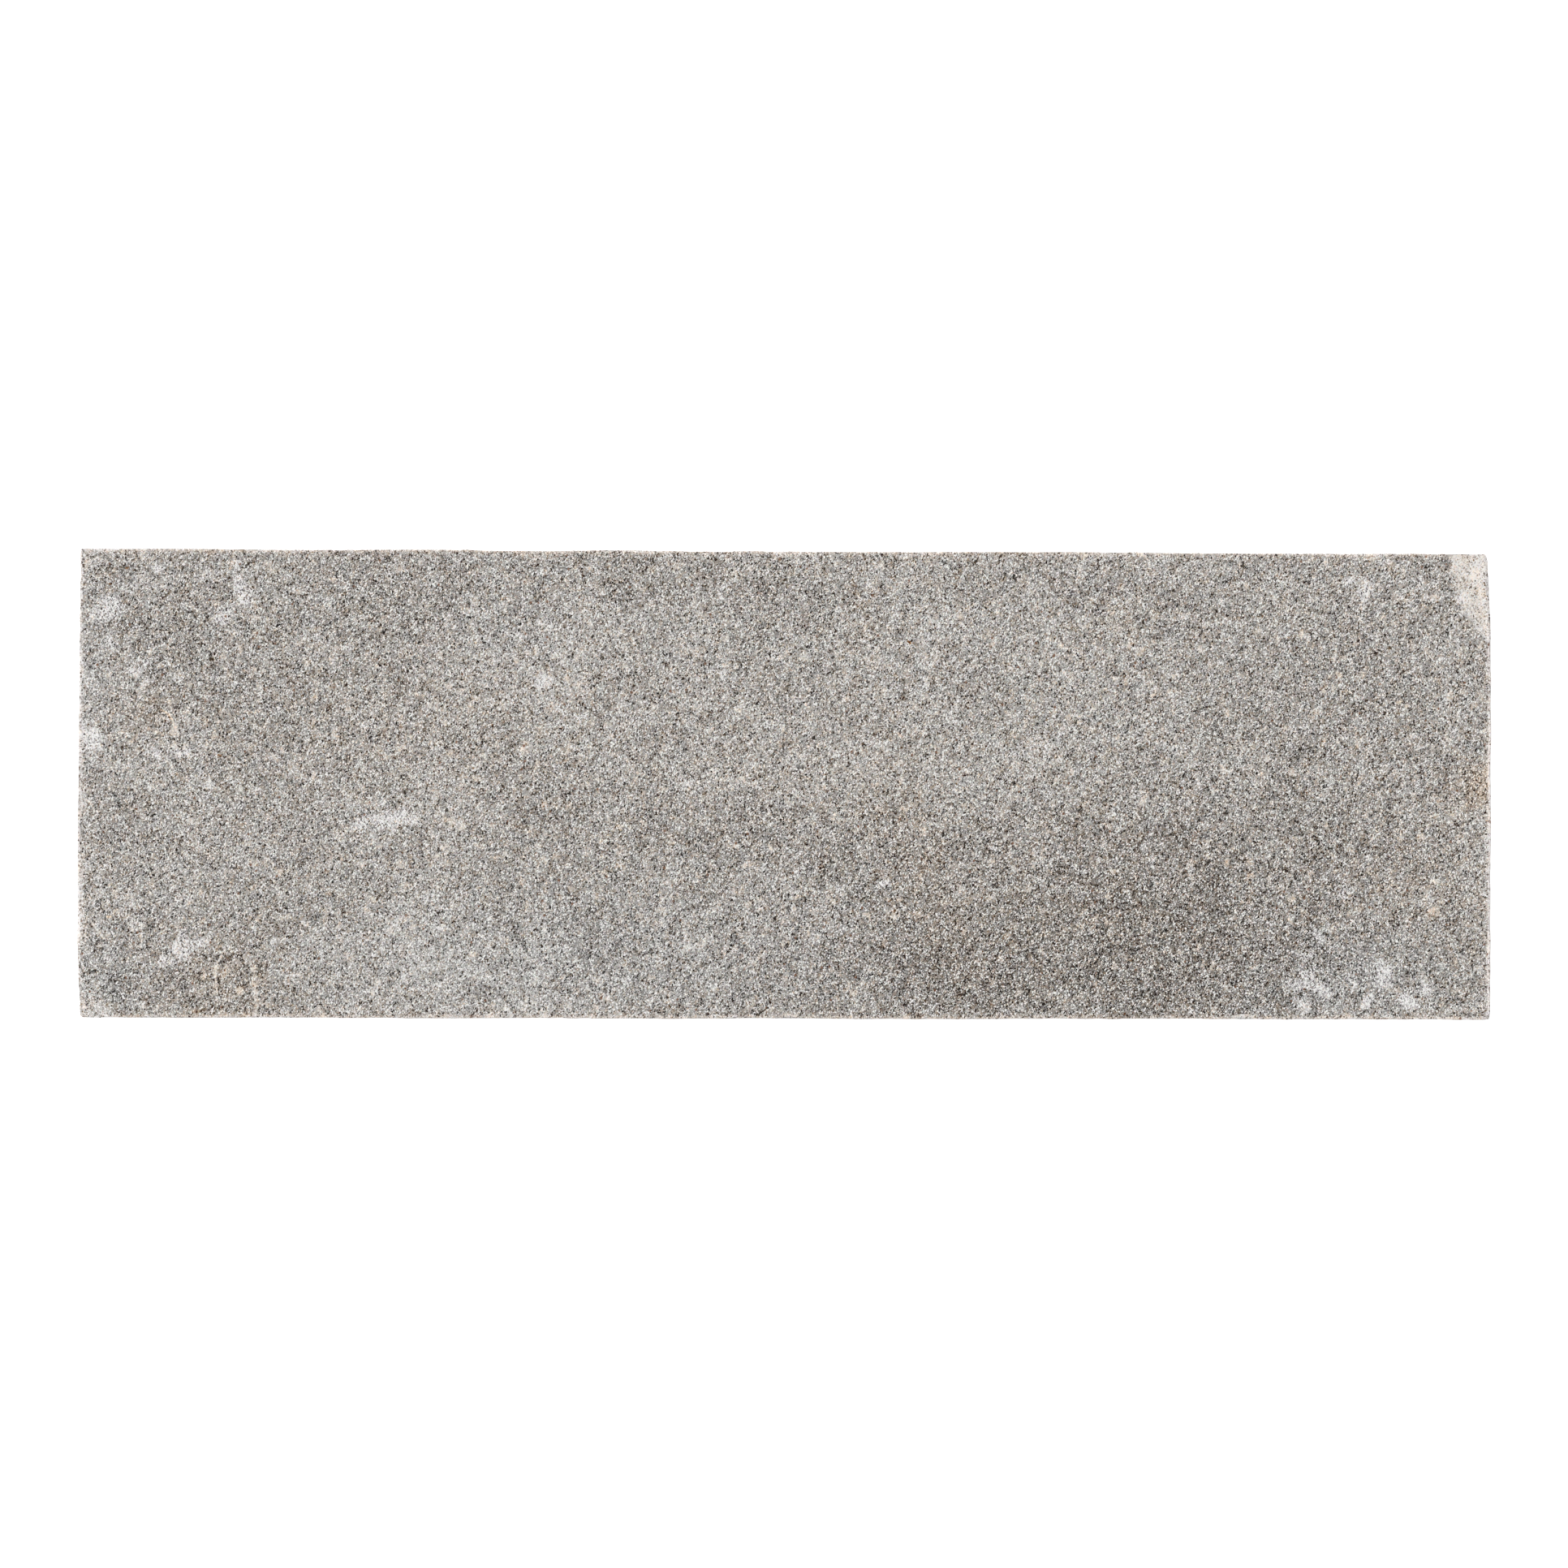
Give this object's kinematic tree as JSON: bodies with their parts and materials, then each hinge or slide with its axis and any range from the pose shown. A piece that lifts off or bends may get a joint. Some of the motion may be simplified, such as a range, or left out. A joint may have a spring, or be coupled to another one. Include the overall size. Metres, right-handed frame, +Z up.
{
  "type": "sharpening whetstone",
  "caption": "Flat rectangular natural sandstone whetstone with a split honing face, sawn edges, a chipped corner and a flat underside to rest on.",
  "frame": {"origin": "centre of the footprint, on the flat underside", "axes": "+X along the length, towards the end with the large corner chip; +Y across the width, towards the rear; +Z up, out of the honing face"},
  "size_m": [0.15, 0.05, 0.02],
  "materials": {
    "sandstone": "matt natural split face with fine grain"
  },
  "bodies": {
    "root": {"stone": "sandstone"}
  },
  "joints": []
}
